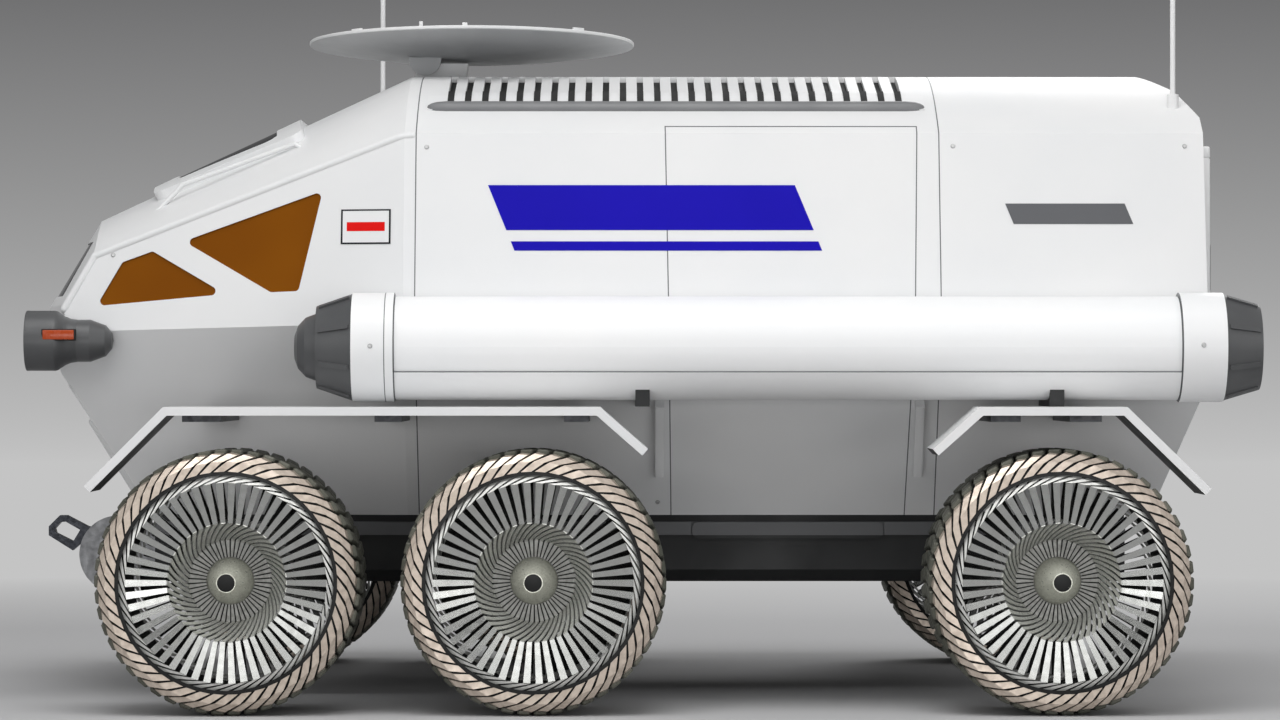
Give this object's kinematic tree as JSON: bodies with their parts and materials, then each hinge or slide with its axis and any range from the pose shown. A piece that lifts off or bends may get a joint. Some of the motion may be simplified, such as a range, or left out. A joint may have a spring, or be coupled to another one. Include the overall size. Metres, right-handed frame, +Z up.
{
  "type": "pressurised planetary rover",
  "caption": "Six-wheeled pressurised planetary rover with open metal-blade wheels, side roll tubes, roof dish, tow hook, rear door and hollow crew cabin.",
  "frame": {"origin": "on the ground, under the middle of the vehicle's box", "axes": "+X forward, +Y to the vehicle's left, +Z up"},
  "size_m": [6, 5.2, 3.7999],
  "materials": {
    "white_paint": "satin white paint",
    "roll_white": "smooth white rolled sheet",
    "dark_plastic": "satin dark grey",
    "rail_grey": "satin grey",
    "belly_black": "matt black",
    "window_amber": "opaque amber gloss",
    "lens": "clear",
    "dish_grey": "satin grey",
    "winch_grey": "satin grey",
    "hook_steel": "satin dark grey",
    "dark_metal": "satin dark grey",
    "blade_metal": "brushed, warm tint",
    "spoke_metal": "polished metal"
  },
  "bodies": {
    "chassis": {"antennas": "white_paint", "belly": "belly_black", "cabin_floor": "white_paint", "dish_mast": "dish_grey", "fender_arms": "belly_black", "fenders": "white_paint", "front_glass": "window_amber", "headlight_lenses": "lens", "headlights": "dark_plastic", "hood_panel": "white_paint", "mid_roof": "white_paint", "mid_walls": "white_paint", "middle_knuckles": "dark_metal", "nose_shell": "white_paint", "rear_shell": "white_paint", "roof_rails": "rail_grey", "side_hatches": "white_paint", "side_windows": "window_amber", "suspension_arms": "belly_black", "tow_hook": "hook_steel", "tube_brackets": "belly_black", "tube_end_caps": "dark_plastic", "tube_housings": "white_paint", "tube_rolls": "roll_white", "winch": "winch_grey"},
    "wheel_front_left": {"tyre_front_left": "blade_metal", "spokes_front_left": "spoke_metal"},
    "steer_front_left": {"knuckle_front_left": "dark_metal"},
    "wheel_front_right": {"tyre_front_right": "blade_metal", "spokes_front_right": "spoke_metal"},
    "steer_front_right": {"knuckle_front_right": "dark_metal"},
    "wheel_middle_left": {"tyre_middle_left": "blade_metal", "spokes_middle_left": "spoke_metal"},
    "wheel_middle_right": {"tyre_middle_right": "blade_metal", "spokes_middle_right": "spoke_metal"},
    "wheel_rear_left": {"tyre_rear_left": "blade_metal", "spokes_rear_left": "spoke_metal"},
    "steer_rear_left": {"knuckle_rear_left": "dark_metal"},
    "wheel_rear_right": {"tyre_rear_right": "blade_metal", "spokes_rear_right": "spoke_metal"},
    "steer_rear_right": {"knuckle_rear_right": "dark_metal"},
    "dish": {"dish": "dish_grey"},
    "rear_door": {"rear_door": "white_paint"},
    "step_left": {"step_left": "belly_black"},
    "step_right": {"step_right": "belly_black"}
  },
  "joints": [
    {"name": "steering_front_left", "type": "hinge", "parent": "chassis", "child": "steer_front_left", "pos_m": [1.89, 1.95, 0.625], "axis": [0, 0, 1], "range_deg": [-20, 20]},
    {"name": "roll_front_left", "type": "hinge", "parent": "steer_front_left", "child": "wheel_front_left", "pos_m": [1.89, 2.19, 0.625], "axis": [0, 1, 0], "continuous": true},
    {"name": "steering_front_right", "type": "hinge", "parent": "chassis", "child": "steer_front_right", "pos_m": [1.89, -1.95, 0.625], "axis": [0, 0, 1], "range_deg": [-20, 20]},
    {"name": "roll_front_right", "type": "hinge", "parent": "steer_front_right", "child": "wheel_front_right", "pos_m": [1.89, -2.19, 0.625], "axis": [0, 1, 0], "continuous": true},
    {"name": "roll_middle_left", "type": "hinge", "parent": "chassis", "child": "wheel_middle_left", "pos_m": [0.455, 2.19, 0.625], "axis": [0, 1, 0], "continuous": true},
    {"name": "roll_middle_right", "type": "hinge", "parent": "chassis", "child": "wheel_middle_right", "pos_m": [0.455, -2.19, 0.625], "axis": [0, 1, 0], "continuous": true},
    {"name": "steering_rear_left", "type": "hinge", "parent": "chassis", "child": "steer_rear_left", "pos_m": [-2.02, 1.95, 0.625], "axis": [0, 0, 1], "range_deg": [-20, 20]},
    {"name": "roll_rear_left", "type": "hinge", "parent": "steer_rear_left", "child": "wheel_rear_left", "pos_m": [-2.02, 2.19, 0.625], "axis": [0, 1, 0], "continuous": true},
    {"name": "steering_rear_right", "type": "hinge", "parent": "chassis", "child": "steer_rear_right", "pos_m": [-2.02, -1.95, 0.625], "axis": [0, 0, 1], "range_deg": [-20, 20]},
    {"name": "roll_rear_right", "type": "hinge", "parent": "steer_rear_right", "child": "wheel_rear_right", "pos_m": [-2.02, -2.19, 0.625], "axis": [0, 1, 0], "continuous": true},
    {"name": "dish_tilt", "type": "hinge", "parent": "chassis", "child": "dish", "pos_m": [1.053, 0, 3.175], "axis": [0, 1, 0], "range_deg": [0, 30]},
    {"name": "rear_door_swing", "type": "hinge", "parent": "chassis", "child": "rear_door", "pos_m": [-2.825, -0.99, 2.123], "axis": [0, 0, 1], "range_deg": [0, 110]},
    {"name": "step_left_fold", "type": "hinge", "parent": "chassis", "child": "step_left", "pos_m": [-0.78, 1.18, 0.792], "axis": [-1, 0, 0], "range_deg": [0, 90]},
    {"name": "step_right_fold", "type": "hinge", "parent": "chassis", "child": "step_right", "pos_m": [-0.78, -1.18, 0.792], "axis": [1, 0, 0], "range_deg": [0, 90]}
  ],
  "couplings": [
    {"joint": "steering_front_right", "follows": "steering_front_left", "ratio": 1},
    {"joint": "steering_rear_right", "follows": "steering_rear_left", "ratio": 1}
  ]
}
